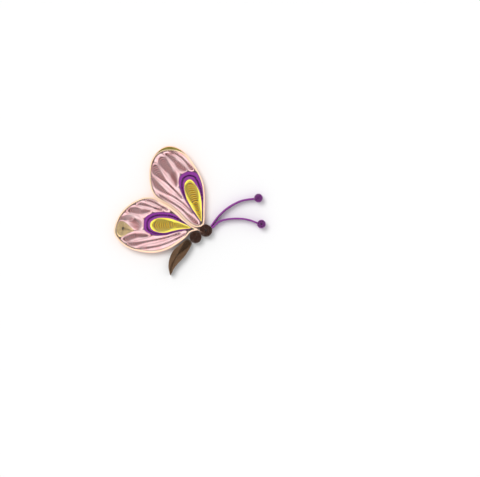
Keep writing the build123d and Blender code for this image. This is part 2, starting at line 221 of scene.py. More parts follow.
class Lane:
    """The space between two veins, in which a strip is wound from its round end to its tail.

    A run is a length along the lane's middle line, and an offset is a distance to the right of it.
    """

    # How finely the lane is measured, and a turn's rounded ends, its sides and a husk's strips are drawn
    SAMPLES = 160
    NEAR = 0.01
    CAP_STEPS = 6
    SIDE_STEP = 0.7
    HUSK_STEP = 0.3
    # The least half width of a lane, and inside its innermost turn, and the channel's most share of it
    LEAST_HALF = 0.01
    LEAST_EYE = 0.02
    NARROW = 0.62
    # The least length of a turn and of its rounded end, that end's most share of the turn, and its tries
    LEAST_TURN = 0.8
    LEAST_CAP = 0.06
    MOST_CAP = 0.48
    CAP_TRIES = 5
    # How unevenly the turns end, how quickly that changes, and the turn from which they lean fully
    UNEVEN = 0.14
    UNEVEN_RATE = 0.9
    LEANING = 0.8
    # Loose folds: how far inside the turn they end, their rise, unevenness, steps and least half width
    FOLD_INSIDE = 0.9
    FOLD_RISE = 0.9
    FOLD_UNEVEN = 0.2
    FOLD_STEPS = 3
    LEAST_FOLD = 0.03
    # Husks: the half widths between which their channel opens, how soon their strips end, and least steps
    PINCHED = (0.12, 0.6)
    STAGGER = 0.4
    LEAST_STEPS = 4

    def __init__(self, left: Line, right: Line, winding: Winding, seed: float) -> None:
        """Measure the lane.

        Args:
            left: The vein to the left, from the round end to the tail.
            right: The vein to the right.
            winding: How the strip is wound.
            seed: A number that makes this lane's small irregularities its own.
        """
        self.left = left
        self.right = right
        self.winding = winding
        self.seed = seed
        self.shares = [step / self.SAMPLES for step in range(self.SAMPLES + 1)]
        middle = [self.place(share, 0.0) for share in self.shares]
        self.runs = [0.0]
        for before, after in zip(middle, middle[1:]):
            self.runs.append(self.runs[-1] + math.dist(before, after))
        self.length = self.runs[-1]
        self.widths = [self._half_width(share) for share in self.shares]
        self.widest = max(self.widths)
        (x1, y1), (x2, y2) = middle[0], middle[-1]
        self.lean_way = 1.0 if (x2 - x1) * LIGHT_FROM[0] + (y2 - y1) * LIGHT_FROM[1] < 0 else -1.0

    def place(self, share: float, side: float) -> Point:
        """Return the point at a share of the lane, from the left vein (-1) to the right one (1)."""
        return between(curve_point(self.left, share), curve_point(self.right, share), (side + 1) / 2)

    def edge(self, side: int) -> Line:
        """Return the left vein (-1) or the right one (1), finely drawn."""
        return [self.place(share, side) for share in self.shares]

    def _half_width(self, share: float) -> float:
        """Measure half the width of the lane, square to its middle line.

        Args:
            share: The share of the lane.

        Returns:
            The half width there.
        """
        left, right = self.place(share, -1), self.place(share, 1)
        normal = side_normal(self.place(share - self.NEAR, 0.0), self.place(share + self.NEAR, 0.0))
        return abs((right[0] - left[0]) * normal[0] + (right[1] - left[1]) * normal[1]) / 2

    def _share_and_half(self, run: float) -> tuple[float, float]:
        """Measure the lane at a run.

        Args:
            run: The run.

        Returns:
            The share of the lane and its half width.
        """
        run = min(max(run, 0.0), self.length)
        index = next((i for i in range(self.SAMPLES) if self.runs[i + 1] >= run), self.SAMPLES - 1)
        part = (run - self.runs[index]) / (self.runs[index + 1] - self.runs[index])
        half = self.widths[index] + part * (self.widths[index + 1] - self.widths[index])
        return (index + part) / self.SAMPLES, half

    def point(self, run: float, offset: float) -> Point:
        """Return the point at a run and an offset."""
        share, half = self._share_and_half(run)
        return self.place(share, offset / max(half, self.LEAST_HALF))

    def room(self, half: float, turn: float) -> float:
        """Return how far a turn lies from the middle line, where the lane has this half width."""
        spread = PRESSED + (self.winding.side - PRESSED) * half / self.widest
        return half - PAPER / 2 - turn * spread

    def room_at(self, run: float, turn: float) -> float:
        """Return how far a turn lies from the middle line at a run."""
        return self.room(self._share_and_half(run)[1], turn)

    def reach(self, turn: float) -> tuple[float, float] | None:
        """Find where a turn begins and ends.

        Args:
            turn: The turn, counted from the vein.

        Returns:
            The two runs, or None where the lane has no room for the turn.
        """
        rooms = [self.room(half, turn) for half in self.widths]
        first = last = rooms.index(max(rooms))
        channel = min(self.winding.channel, self.NARROW * self.widest)
        if rooms[first] < channel + self.LEAST_EYE:
            return None
        while first > 0 and rooms[first - 1] > channel:
            first -= 1
        while last < self.SAMPLES and rooms[last + 1] > channel:
            last += 1
        early, late = (
            pitch * (turn + self.UNEVEN * wander(seed, turn * self.UNEVEN_RATE))
            for pitch, seed in ((self.winding.end, self.seed), (self.winding.tail, self.seed + 5))
        )
        begin = max(self.runs[first], PAPER + early)
        finish = min(self.runs[last], self.length - PAPER - late)
        return (begin, finish) if finish - begin > self.LEAST_TURN else None

    def turn_count(self) -> int:
        """Count the turns that the lane has room for.

        Returns:
            How many there are.
        """
        count = 0
        while count < self.winding.turns and all(self.reach(count + part) for part in (0.0, 0.5, 1.0)):
            count += 1
        return count

    def _cap(self, turn: float, start: float, heading: int, bulge: float) -> float:
        """Fit the rounded end of a turn.

        Args:
            turn: The turn.
            start: The run where it folds back.
            heading: 1 at the round end and -1 at the tail.
            bulge: How far it bulges, as a share of half its width.

        Returns:
            How long the end is.
        """
        cap = self.LEAST_CAP
        for _ in range(self.CAP_TRIES):
            cap = max(bulge * self.room_at(start + heading * cap, turn), self.LEAST_CAP)
        return cap

    def half_turn(self, turn: float, side: int, begin: float, finish: float) -> Wall:
        """Wind half a turn, rounded at both ends.

        Args:
            turn: The turn, at the round end.
            side: -1 for the left side of the lane and 1 for the right side.
            begin: The run of its round end.
            finish: The run of its tail.

        Returns:
            The places of the strip, from the round end to the tail.
        """
        longest = (finish - begin) * self.MOST_CAP
        head = min(self._cap(turn, begin, 1, self.winding.bulge), longest)
        foot = min(self._cap(turn + side / 2, finish, -1, self.winding.tail_bulge), longest)
        rounding = [1 - math.cos(math.pi / 2 * step / self.CAP_STEPS) for step in range(self.CAP_STEPS)]
        straight = finish - foot - begin - head
        steps = max(1, round(straight / self.SIDE_STEP))
        runs = [begin + head * share for share in rounding]
        runs += [begin + head + straight * step / steps for step in range(steps + 1)]
        runs += [finish - foot * share for share in reversed(rounding)]
        looseness = self.winding.lean * min(1.0, turn / self.LEANING) * self.lean_way
        wall = []
        for run in runs:
            wound = turn + side * (run - begin) / (finish - begin) / 2
            near = min((run - begin) / head, (finish - run) / foot, 1.0)
            arch = math.sqrt(max(0.0, 1 - (1 - near) ** 2))
            offset = side * arch * max(self.room_at(run, wound), 0.0)
            lean = looseness * math.sqrt(1 - arch**2)
            wall.append((self.point(run, offset), self.point(run + lean, offset)))
        return wall

    def coil(self) -> Wall:
        """Wind the whole strip inwards.

        Returns:
            Its places, from its glued outer end to its eye.
        """
        wall: Wall = []
        for turn in range(self.turn_count()):
            begin = self.reach(turn + 0.5)[0]
            wall += self.half_turn(turn + 0.5, -1, begin, self.reach(turn)[1])[::-1]
            wall += self.half_turn(turn + 0.5, 1, begin, self.reach(turn + 1)[1])[1:]
        return wall

    def linings(self) -> list[Wall]:
        """Lay short arcs against both ends of each turn, inside it.

        Returns:
            The places of each arc.
        """
        arcs = []
        steps = self.CAP_STEPS
        for turn in range(self.turn_count()):
            begin, finish = self.reach(turn + 0.5)[0] + PRESSED, self.reach(turn + 1)[1] - PRESSED
            left, right = (self.half_turn(turn + 0.5, side, begin, finish) for side in (-1, 1))
            arcs += [left[steps - 1:0:-1] + right[:steps], left[1 - steps:] + right[-1:-steps:-1]]
        return arcs

    def ring(self) -> Line:
        """Trace the outermost turn.

        Returns:
            A counterclockwise line that ends where it begins.
        """
        begin, finish = self.reach(0.5)[0], self.reach(0)[1]
        left, right = (self.half_turn(0.5, side, begin, finish) for side in (-1, 1))
        line = [foot for foot, _ in left[::-1] + right[1:]]
        area = sum(x1 * y2 - x2 * y1 for (x1, y1), (x2, y2) in zip(line, [*line[1:], line[0]]))
        line = line if area > 0 else line[::-1]
        return [*line, line[0]]

    def husk(self, side: int) -> list[Wall]:
        """Lay strips of falling length along one side of the lane.

        Args:
            side: -1 for the left side of the lane and 1 for the right side.

        Returns:
            The places of each strip.
        """
        walls = []
        low, high = self.PINCHED
        gaps = [self.winding.channel * min(1.0, max(0.0, half - low) / (high - low)) for half in self.widths]
        for turn in range(self.winding.turns):
            sections = zip(self.runs, self.widths, gaps)
            kept = [run for run, half, gap in sections if self.room(half, turn) > gap]
            if len(kept) < 2:
                break
            begin = max(kept[0], PAPER + self.winding.end * turn * self.STAGGER)
            finish = min(kept[-1], self.length - PAPER - self.winding.tail * turn * self.STAGGER)
            steps = max(self.LEAST_STEPS, round((finish - begin) / self.HUSK_STEP))
            runs = [begin + (finish - begin) * step / steps for step in range(steps + 1)]
            walls.append(upright([self.point(run, side * self.room_at(run, turn)) for run in runs]))
        return walls

    def folds(self, shift: float) -> list[Wall]:
        """Fold strips to and fro across the channel, between the ends of the turns.

        Args:
            shift: How much further in a turn is at the round end than at the tail.

        Returns:
            The places of each fold.
        """
        inner = 0
        while inner < self.winding.turns and self.reach(inner + 1) and self.reach(inner + shift):
            inner += 1
        tops = [self.reach(turn + shift) for turn in range(max(inner, 1))]
        tails = [self.reach(turn) for turn in range(inner + 1)]
        if None in tops or None in tails:
            return []
        walls = []
        for turn, (outer, following) in enumerate(zip(tops, tops[1:])):
            walls += self._pocket(outer[0], following[0], turn + shift, -1)
        for turn, (outer, following) in enumerate(zip(tails, tails[1:])):
            walls += self._pocket(following[1], outer[1], turn, 1)
        return walls + self._pocket(tops[-1][0], tails[-1][1], inner, -1)

    def _pocket(self, start: float, finish: float, turn: float, heading: int) -> list[Wall]:
        """Fill the pocket between the ends of two turns with folds.

        Args:
            start: The run where the pocket begins.
            finish: The run where it ends.
            turn: The outer one of the turns.
            heading: -1 for folds that are convex towards the round end, and 1 towards the tail.

        Returns:
            The places of each fold.
        """
        fill = self.winding.fill
        count = round((finish - start) / fill) - 1
        walls = []
        for index in range(1, count + 1):
            uneven = self.FOLD_UNEVEN * fill * wander(self.seed + 3, start + index)
            run = start + (finish - start) * index / (count + 1) + uneven
            walls.append(self._fold(run, turn + self.FOLD_INSIDE, heading))
        return walls

    def _fold(self, run: float, turn: float, heading: int) -> Wall:
        """Fold a strip once across the channel.

        Args:
            run: The run of the fold's middle.
            turn: The turn between whose sides it lies.
            heading: -1 where it is convex towards the round end, and 1 towards the tail.

        Returns:
            Its places.
        """
        rise = -heading * self.FOLD_RISE * max(self.room_at(run, turn), self.LEAST_CAP)
        wall = []
        for step in range(-self.FOLD_STEPS, self.FOLD_STEPS + 1):
            across = math.sin(math.pi / 2 * step / self.FOLD_STEPS)
            here = run + rise * (1 - math.sqrt(1 - across**2))
            offset = across * max(self.room_at(here, turn), self.LEAST_FOLD)
            lean = self.winding.lean * self.lean_way * math.sqrt(1 - across**2)
            wall.append((self.point(here, offset), self.point(here + lean, offset)))
        return wall


def linear(code: str) -> tuple[float, float, float, float]:
    """Return an sRGB hex colour as linear red, green, blue and alpha."""
    values = (int(code[start:start + 2], 16) / 255 for start in (1, 3, 5))
    return (*(v / 12.92 if v <= 0.04045 else ((v + 0.055) / 1.055) ** 2.4 for v in values), 1.0)


def add_node(
    tree: bpy.types.NodeTree,
    kind: str,
    values: dict[str, object] | None = None,
    links: dict[str, bpy.types.NodeSocket] | None = None,
    **settings: object,
) -> bpy.types.Node:
    """Add a node with its settings, values and links.

    Args:
        tree: The node tree.
        kind: The node's type.
        values: The values of its inputs, by name.
        links: The outputs that feed its inputs, by name.
        **settings: The node's own properties.

    Returns:
        The node.
    """
    node = tree.nodes.new(kind)
    for name, value in settings.items():
        setattr(node, name, value)
    for name, value in (values or {}).items():
        node.inputs[name].default_value = value
    for name, socket in (links or {}).items():
        tree.links.new(socket, node.inputs[name])
    return node


@dataclass(frozen=True)
class PaperFinish:
    """Dyed quilling paper, cut in strips from the sheet: matte and a little fibrous, with its face and its
    cut edge in two colours of one dye that paint light and shade.

    Attributes:
        name: The record's slot.
        face: The colour of the flat of the paper as it shows between the strips: in most papers darker than
            the dye, as painted shade.
        edge: The colour of its cut edge on top: in most papers lighter than the face, as a painted
            highlight.
        shade: A darker tone that clouds the face.
    """

    name: str
    face: str
    edge: str
    shade: str

    # Uncoated paper hardly shines. Its dye is slightly uneven, and its fibres stand out a little
    ROUGHNESS = 0.82
    SPECULAR = 0.25
    CLOUD_MM = 2.4
    CLOUD_FROM = 0.4
    CLOUD_TO = 0.8
    MOST_CLOUD = 0.35
    FIBRE_MM = 0.12
    FIBRE_DEPTH_MM = 0.02
    FIBRE_STRENGTH = 0.35

    def materials(self) -> list[bpy.types.Material]:
        """Return the material of the face and that of the cut edge."""
        # One dye as two materials, painted light and shade: one colour for the upright face, one for the cut
        # edge
        sides = (("face", self.face, self.shade), ("cut_edge", self.edge, self.face))
        return [self._paper(f"{self.name}_{side}", colour, shade) for side, colour, shade in sides]

    def _paper(self, name: str, colour: str, shade: str) -> bpy.types.Material:
        """Make a paper material, or find it where it was made before.

        Args:
            name: The material's name.
            colour: Its main colour, as a hex value.
            shade: The colour that clouds it.

        Returns:
            The material.
        """
        material = bpy.data.materials.get(name)
        if material:
            return material
        material = bpy.data.materials.new(name)
        material.use_nodes = True
        tree = material.node_tree
        shader = tree.nodes["Principled BSDF"]
        shader.inputs["Roughness"].default_value = self.ROUGHNESS
        shader.inputs["Specular IOR Level"].default_value = self.SPECULAR
        where = {"Vector": add_node(tree, "ShaderNodeTexCoord").outputs["Object"]}
        clouds, fibres = (
            add_node(
                tree,
                "ShaderNodeTexNoise",
                {"Scale": 1 / (size * MM), "Detail": detail, "Roughness": roughness},
                where,
            )
            for size, detail, roughness in ((self.CLOUD_MM, 3.0, 0.6), (self.FIBRE_MM, 2.0, 0.7))
        )
        tone = add_node(
            tree,
            "ShaderNodeMapRange",
            {
                "From Min": self.CLOUD_FROM,
                "From Max": self.CLOUD_TO,
                "To Min": 0.0,
                "To Max": self.MOST_CLOUD,
            },
            {"Value": clouds.outputs["Fac"]},
        )
        mix = add_node(tree, "ShaderNodeMix", {}, {"Factor": tone.outputs["Result"]}, data_type="RGBA")
        mix.inputs["A"].default_value = linear(colour)
        mix.inputs["B"].default_value = linear(shade)
        tree.links.new(mix.outputs["Result"], shader.inputs["Base Color"])
        bump = add_node(
            tree,
            "ShaderNodeBump",
            {"Strength": self.FIBRE_STRENGTH, "Distance": self.FIBRE_DEPTH_MM * MM},
            {"Height": fibres.outputs["Fac"]},
        )
        tree.links.new(bump.outputs["Normal"], shader.inputs["Normal"])
        return material


class Tone(Enum):
    """The dyed papers of this butterfly, by the record's slots."""

    # Face and cut edge are one dye in two colours that paint light and shade. In all but the plum the cut
    # edge is lighter, a painted highlight, and the face darker, painted shade, deepest in the pink, olive
    # and dark brown. In the plum the face is lighter, as painted light, and the cut edge darker, as painted
    # shade.
    PEACH = PaperFinish("peach_paper", "#F2B494", "#FDD2BC", "#E5A082")
    CREAM = PaperFinish("cream_paper", "#F3DC9C", "#FDEEC2", "#DEC680")
    OLIVE = PaperFinish("olive_paper", "#6C5C1C", "#B8A652", "#4C4014")
    PINK = PaperFinish("pink_paper", "#F0605A", "#FFDCDE", "#DC5450")
    PURPLE = PaperFinish("purple_paper", "#782A86", "#883892", "#5E1E6A")
    YELLOW = PaperFinish("yellow_paper", "#FFD01C", "#FFF368", "#ECB814")
    KHAKI = PaperFinish("khaki_paper", "#CC9C60", "#FADCA6", "#A5804A")
    DARK_BROWN = PaperFinish("dark_brown_paper", "#1C0F0B", "#4E2F23", "#140B08")
    BROWN = PaperFinish("brown_paper", "#4A3424", "#765A42", "#38281C")
    PLUM = PaperFinish("plum_paper", "#90429A", "#853A8C", "#6A2670")


class Strip:
    """One strip of paper on edge, or several that make one piece."""

    # How much its height varies and over what length, how level a cut edge is, and the sharp angle
    HEIGHT_WANDER = 0.05
    WANDER_LENGTH = 6
    LEVEL = 0.7
    SHARP_DEGREES = 40

    def __init__(self, node: str, tone: Tone) -> None:
        """Start a piece that stands for one node of the frame.

        Args:
            node: The frame's node.
            tone: The paper.
        """
        self.node = node
        self.tone = tone
        self.mesh = bmesh.new()

    def run(self, places: Wall, closed: bool = False, height: float = STRIP_HEIGHT) -> None:
        """Stand a strip along its places.

        Args:
            places: The foot and the top of the strip along its way.
            closed: Whether its ends meet.
            height: How high it stands.
        """
        if len(places) < 2:
            return
        wall = bmesh.new()
        feet = [wall.verts.new((foot[0] * MM, foot[1] * MM, 0.0)) for foot, _ in places]
        line = [wall.edges.new(pair) for pair in zip(feet, feet[1:])]
        if closed:
            line.append(wall.edges.new((feet[-1], feet[0])))
        raised = bmesh.ops.extrude_edge_only(wall, edges=line)["geom"]
        tops = {element for element in raised if isinstance(element, bmesh.types.BMVert)}
        length = 0.0
        seed = len(self.node) + places[0][0][0]
        for index, (foot, (_, top)) in enumerate(zip(feet, places)):
            length += math.dist(places[index][0], places[index - 1][0]) if index else 0.0
            head = next(edge.other_vert(foot) for edge in foot.link_edges if edge.other_vert(foot) in tops)
            rise = height + self.HEIGHT_WANDER * (wander(seed, length / self.WANDER_LENGTH) - 1)
            head.co = (top[0] * MM, top[1] * MM, rise * MM)
        bmesh.ops.recalc_face_normals(wall, faces=wall.faces[:])
        bmesh.ops.solidify(wall, geom=wall.faces[:], thickness=PAPER * MM)
        bmesh.ops.recalc_face_normals(wall, faces=wall.faces[:])
        for face in wall.faces:
            face.smooth = True
            # Level faces, the cut edges, take the edge colour and upright faces the face colour: one dye in
            # two colours that paint light and shade
            face.material_index = 1 if abs(face.normal.z) > self.LEVEL else 0
        part = bpy.data.meshes.new("wall")
        wall.to_mesh(part)
        wall.free()
        self.mesh.from_mesh(part)
        bpy.data.meshes.remove(part)

    def finish(self) -> None:
        """Make the piece, dress it and seat it on the frame."""
        data = bpy.data.meshes.new(f"{self.node}_paper")
        self.mesh.to_mesh(data)
        self.mesh.free()
        data.set_sharp_from_angle(angle=math.radians(self.SHARP_DEGREES))
        piece = bpy.data.objects.new(f"{self.node}_paper", data)
        bpy.context.scene.collection.objects.link(piece)
        for material in self.tone.value.materials():
            data.materials.append(material)
        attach(piece, "root")
        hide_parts(self.node)
        log.info("%s: %d faces of %s", piece.name, len(data.polygons), self.tone.value.name)


class Crowd:
    """The strips that stand in a wing already, between which more turns are pressed."""

    SAMPLE = 0.08

    def __init__(self, bounds: Line) -> None:
        """Start with an empty wing.

        Args:
            bounds: The outline that no turn may cross.
        """
        self.bounds = bounds
        self.shapes: dict[str, tuple[Line, list[float]]] = {}
        self.cells: dict[tuple[int, int], list[tuple[Point, str]]] = {}

    def add_shape(self, owner: str, outline: Line) -> None:
        """Keep the others' turns out of a closed outline.

        Args:
            owner: Whose outline it is.
            outline: The outline.
        """
        xs, ys = zip(*outline)
        self.shapes[owner] = (outline, [min(xs), max(xs), min(ys), max(ys)])
        self.add_line(owner, [*outline, outline[0]])

    def add_line(self, owner: str, line: Line) -> None:
        """Keep the others' turns clear of a strip."""
        for point in spaced(line, self.SAMPLE):
            self.cells.setdefault(self._cell(point), []).append((point, owner))

    def _cell(self, point: Point) -> tuple[int, int]:
        """Return the square of the plane that a point lies in."""
        return (math.floor(point[0] / PRESSED), math.floor(point[1] / PRESSED))

    def free(self, owner: str, point: Point) -> bool:
        """Tell whether a turn of one owner's may pass a point."""
        return self.clear_of(owner, point) and within(point, self.bounds)

    def clear_of(self, owner: str, point: Point) -> bool:
        """Tell whether a point is clear of the strips of all others.

        Args:
            owner: Whose point it is.
            point: The point.

        Returns:
            Whether it is clear.
        """
        column, row = self._cell(point)
        for dx in (-1, 0, 1):
            for dy in (-1, 0, 1):
                for other, name in self.cells.get((column + dx, row + dy), ()):
                    if name != owner and math.dist(other, point) < PRESSED:
                        return False
        for name, (outline, (left, right, low, high)) in self.shapes.items():
            boxed = left < point[0] < right and low < point[1] < high
            if name != owner and boxed and within(point, outline):
                return False
        return True


class Coil:
    """A strip wound between two veins, and the turns that are pressed round it."""

    # Turns pressed round it: how finely they are drawn, their least number of points, and the most turns
    RING_STEP = 0.35
    LEAST_RUN = 4
    MOST_PRESSED = 16
    # How far the loose folds stay below the turns
    SUNK = 0.05

    def __init__(self, node: str, tone: Tone, left: Line, right: Line, winding: Winding) -> None:
        """Wind the strip.

        Args:
            node: The frame's node that the piece stands for.
            tone: The paper.
            left: The vein to the left, from the round end to the tail.
            right: The vein to the right.
            winding: How the strip is wound.
        """
        self.node = node
        self.strip = Strip(node, tone)
        lane = Lane(left, right, winding, seed_of(node))
        self.strip.run(lane.coil())
        if winding.fill:
            folds = lane.folds(0.5)
            for fold in folds + [pressed_against(fold) for fold in folds] + lane.linings():
                self.strip.run(fold, height=STRIP_HEIGHT - self.SUNK)
        self.ring = spaced(lane.ring(), self.RING_STEP)[:-1]
        following = [*self.ring[1:], self.ring[0]]
        self.outwards = [side_normal(after, self.ring[index - 1]) for index, after in enumerate(following)]
        self.clear = [True] * len(self.ring)

    def press_round(self, crowd: Crowd, layer: int) -> bool:
        """Press one more turn round the coil, where the others leave room.

        Args:
            crowd: The strips that stand already.
            layer: How many turns further out it lies.

        Returns:
            Whether there was room for any of it.
        """
        turn = [moved(point, way, layer * PRESSED) for point, way in zip(self.ring, self.outwards)]
        for index, point in enumerate(turn):
            self.clear[index] = self.clear[index] and crowd.free(self.node, point)
        if all(self.clear):
            self.strip.run(upright(turn), closed=True)
            crowd.add_line(self.node, [*turn, turn[0]])
            return True
        start = self.clear.index(False)
        run: Line = []
        pressed = False
        for step in range(len(turn) + 1):
            index = (start + step) % len(turn)
            if self.clear[index]:
                run.append(turn[index])
                continue
            if len(run) >= self.LEAST_RUN:
                self.strip.run(upright(run))
                crowd.add_line(self.node, run)
                pressed = True
            run = []
        return pressed


def press_all(coils: list[Coil], crowd: Crowd) -> None:
    """Press turns round the coils until they touch.

    Args:
        coils: The coils.
        crowd: What stands round them already.
    """
    for coil in coils:
        crowd.add_shape(coil.node, coil.ring)
    growing = list(coils)
    for layer in range(1, Coil.MOST_PRESSED + 1):
        growing = [coil for coil in growing if coil.press_round(crowd, layer)]


@dataclass(frozen=True)
class Roll:
    """A tight round roll.

    Attributes:
        node: The frame's node that it stands for.
        tone: The paper.
        centre: The middle of the roll.
        diameter: Its outer diameter.
        eye: The radius of the hole in its middle.
        end: The direction of the strip's outer end, in degrees.
    """

    node: str
    tone: Tone
    centre: Point
    diameter: float
    eye: float
    end: float

    # How finely a roll is drawn, in degrees, and its pitch
    STEP = 14.0
    PITCH = PRESSED + 0.02
    # The extra pitch of its slack turns, how often they come and how rare they are
    SLACK = 0.32
    SLACK_EVERY = 190.0
    SLACK_ABOVE = 0.5
    # How uneven it is, and how slowly that changes
    UNEVEN = 0.03
    UNEVEN_EVERY = 150

    def build(self) -> None:
        """Wind the strip from outside to the eye."""
        line: Line = []
        radius, angle = self.diameter / 2 - PAPER / 2, self.end
        while radius > self.eye:
            loose = self.UNEVEN * wander(self.diameter, angle / self.UNEVEN_EVERY)
            line.append(polar(self.centre, radius + loose, angle))
            angle += self.STEP
            slack = self.SLACK if math.sin(angle / self.SLACK_EVERY) > self.SLACK_ABOVE else 0.0
            if angle > self.end + 360.0:
                radius -= (self.PITCH + slack) * self.STEP / 360.0
        strip = Strip(self.node, self.tone)
        strip.run(upright(line))
        strip.finish()


@dataclass
class Body:
    """The head and the thorax, two tight rolls, and the abdomen, a marquise coil with a bent tip."""

    thorax_diameter: float = 4.9
    thorax_end: float = 250.0
    head_diameter: float = 5.2
    head_end: float = 215.0
    head_direction: float = 33.0
    roll_seat: float = 0.08
    roll_eye: float = 0.45
    thorax_centre: Point = (0.0, 0.0)
    abdomen: Winding = Winding(turns=14, side=0.16, end=0.5, tail=0.55, lean=0.4, fill=0.75, bulge=0.7)

    # The abdomen's two veins, from the round end to the tail
    INNER = [(-3.15, -0.05), (-6.1, -2.7), (-9.1, -5.3), (-10.8, -8.8), (-11.2, -12.3), (-10.5, -15.7)]
    OUTER = [(-1.05, -1.85), (-2.6, -5.1), (-4.5, -8.1), (-6.8, -10.5), (-8.8, -13.0), (-10.1, -15.8)]

    @property
    def head_centre(self) -> Point:
        """The middle of the head roll."""
        reach = (self.thorax_diameter + self.head_diameter) / 2 + self.roll_seat
        return polar(self.thorax_centre, reach, self.head_direction)

    def beside_head(self, angle: float, gap: float) -> Point:
        """Return the point outside the head roll at a gap from it."""
        return polar(self.head_centre, self.head_diameter / 2 + gap, angle)

    def beside_thorax(self, angle: float, gap: float) -> Point:
        """Return the point outside the thorax roll at a gap from it."""
        return polar(self.thorax_centre, self.thorax_diameter / 2 + gap, angle)

    def build(self) -> None:
        """Build the two rolls and the abdomen."""
        for node, centre, diameter, end in (
            ("thorax_roll", self.thorax_centre, self.thorax_diameter, self.thorax_end),
            ("head_roll", self.head_centre, self.head_diameter, self.head_end),
        ):
            Roll(node, Tone.DARK_BROWN, centre, diameter, self.roll_eye, end).build()
        Coil("abdomen_coil", Tone.BROWN, self.INNER, self.OUTER, self.abdomen).strip.finish()


@dataclass
class Antennae:
    """Two stems of a few strips on edge in an arc from the head, each with a small tight roll at its end."""

    body: Body
    upper_direction: float = 43.0
    lower_direction: float = 26.0
    roll_diameter: float = 3.6
    roll_eye: float = 0.35
    stem_gap: float = 0.12
    stem_strips: int = 5
    foot_shift: Point = (0.16, -0.24)
    steps: int = 40

    # The points that each stem passes through, and the middle of the roll at its end
    UPPER = ([(9.7, 9.1), (13.6, 12.5), (18.0, 14.9), (21.4, 15.8)], (26.1, 16.3))
    LOWER = ([(9.7, 6.6), (13.6, 7.7), (18.4, 7.9), (22.3, 7.3)], (27.3, 5.5))

    def build(self) -> None:
        """Build both antennae."""
        self._antenna("upper", self.upper_direction, *self.UPPER)
        self._antenna("lower", self.lower_direction, *self.LOWER)

    def _antenna(self, name: str, direction: float, stem: Line, tip: Point) -> None:
        """Build one antenna.

        Args:
            name: Which one.
            direction: Where it leaves the head, in degrees.
            stem: The points that the stem passes through.
            tip: The middle of the roll at its end.
        """
        approach = math.degrees(math.atan2(stem[-1][1] - tip[1], stem[-1][0] - tip[0]))
        start = self.body.beside_head(direction, self.stem_gap)
        route = [start, *stem, polar(tip, self.roll_diameter / 2 + self.stem_gap, approach)]
        middle = [curve_point(route, step / self.steps) for step in range(self.steps + 1)]
        strip = Strip(f"{name}_antenna_stem", Tone.PLUM)
        for layer in range(self.stem_strips):
            shift = (layer - (self.stem_strips - 1) / 2) * PRESSED
            places = []
            for before, here, after in zip([middle[0], *middle], middle, [*middle[1:], middle[-1]]):
                top = moved(here, side_normal(before, after), shift)
                places.append(((top[0] + self.foot_shift[0], top[1] + self.foot_shift[1]), top))
            strip.run(places)
        strip.finish()
        Roll(f"{name}_antenna_roll", Tone.PLUM, tip, self.roll_diameter, self.roll_eye, approach).build()


@dataclass(frozen=True)
class Eyespot:
    """A yellow coil inside two purple husks.

    Attributes:
        outside: The outer edge of the husks, from the root round to the root.
        inside: Their inner edge.
        left: The yellow coil's vein to the left, from the round end to the tail.
        right: Its vein to the right.
        husk: How the husks' strips lie.
        spot: How the yellow coil is wound.
        deep_fold: How far a low fold between the husks stays below their edge.
        full_fold: One fold in this many is as high as the husks.
    """

    outside: Line
    inside: Line
    left: Line
    right: Line
    husk: Winding = Winding(turns=14, side=0.112, end=0.6, tail=0.6, channel=0.3, fill=0.31, lean=0.05)
    spot: Winding = Winding(turns=10, end=0.92, tail=0.9, channel=0.3, lean=0.5, fill=0.86)
    deep_fold: float = 1.2
    full_fold: int = 3

    def build(self, wing: str, crowd: Crowd) -> None:
        """Build the eyespot.

        Args:
            wing: The wing's name.
            crowd: The strips in the wing, which the eyespot joins.
        """
        lane = Lane(self.outside, self.inside, self.husk, seed_of(wing))
        crowd.add_shape(f"{wing}_eyespot", lane.edge(-1))
        for node, side in ((f"{wing}_eyespot_husk", -1), (f"{wing}_eyespot_inner_husk", 1)):
            strip = Strip(node, Tone.PURPLE)
            for places in lane.husk(side):
                strip.run(places)
            for index, fold in enumerate(lane.folds(0.0) if side > 0 else []):
                if index % self.full_fold:
                    strip.run(fold, height=STRIP_HEIGHT - self.deep_fold)
                else:
                    strip.run(fold)
                    strip.run(pressed_against(fold))
            strip.finish()
        coil = Coil(f"{wing}_eyespot_coil", Tone.YELLOW, self.left, self.right, self.spot)
        press_all([coil], Crowd(lane.edge(1)))
        coil.strip.finish()


